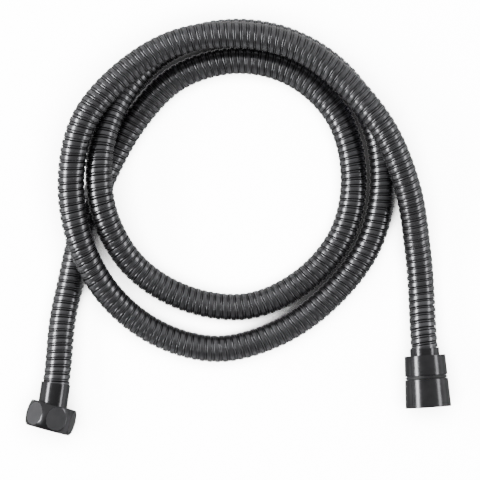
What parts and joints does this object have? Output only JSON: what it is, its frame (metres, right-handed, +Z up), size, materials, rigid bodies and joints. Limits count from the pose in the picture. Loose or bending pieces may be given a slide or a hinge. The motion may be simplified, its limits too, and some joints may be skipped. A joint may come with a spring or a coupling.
{
  "type": "shower hose",
  "caption": "Metal shower hose wound from an interlocked strip, lying in a loose coil, with a hexagonal swivel nut at one end and a two-part tapered swivel nut at the other.",
  "frame": {"origin": "on the surface that the hose lies on, below the middle of its overall box", "axes": "+Z up from the surface, -Y the way that the mouths of both end fittings point, with the hexagonal nut at -X and the tapered nut at +X"},
  "size_m": [0.2333, 0.2287, 0.0371],
  "materials": {
    "coated_strip": "dark grey coating, semi-gloss",
    "coated_brass": "dark grey coating, semi-gloss",
    "plain_brass": "turned",
    "black_rubber": "matt",
    "grey_nylon": "plain"
  },
  "bodies": {
    "hose": {"spiral_hose": "coated_strip", "inner_tube": "black_rubber", "hex_ferrule": "coated_brass", "hex_nipple": "plain_brass", "hex_washer": "black_rubber", "cone_ferrule": "coated_brass", "cone_nipple": "plain_brass", "cone_seal": "black_rubber", "cone_washer": "black_rubber", "cone_collar": "coated_brass", "cone_ring": "grey_nylon"},
    "hex_swivel": {"hex_nut": "coated_brass"},
    "cone_swivel": {"cone_nut": "coated_brass"}
  },
  "joints": [
    {"name": "hex_nut_turn", "type": "hinge", "parent": "hose", "child": "hex_swivel", "pos_m": [-0.1026, -0.1041, 0.01375], "axis": [-0.2582, -0.9636, 0.0698], "continuous": true},
    {"name": "cone_nut_turn", "type": "hinge", "parent": "hose", "child": "cone_swivel", "pos_m": [0.1034, -0.0866, 0.01194], "axis": [0.0662, -0.9966, 0.0489], "continuous": true}
  ]
}
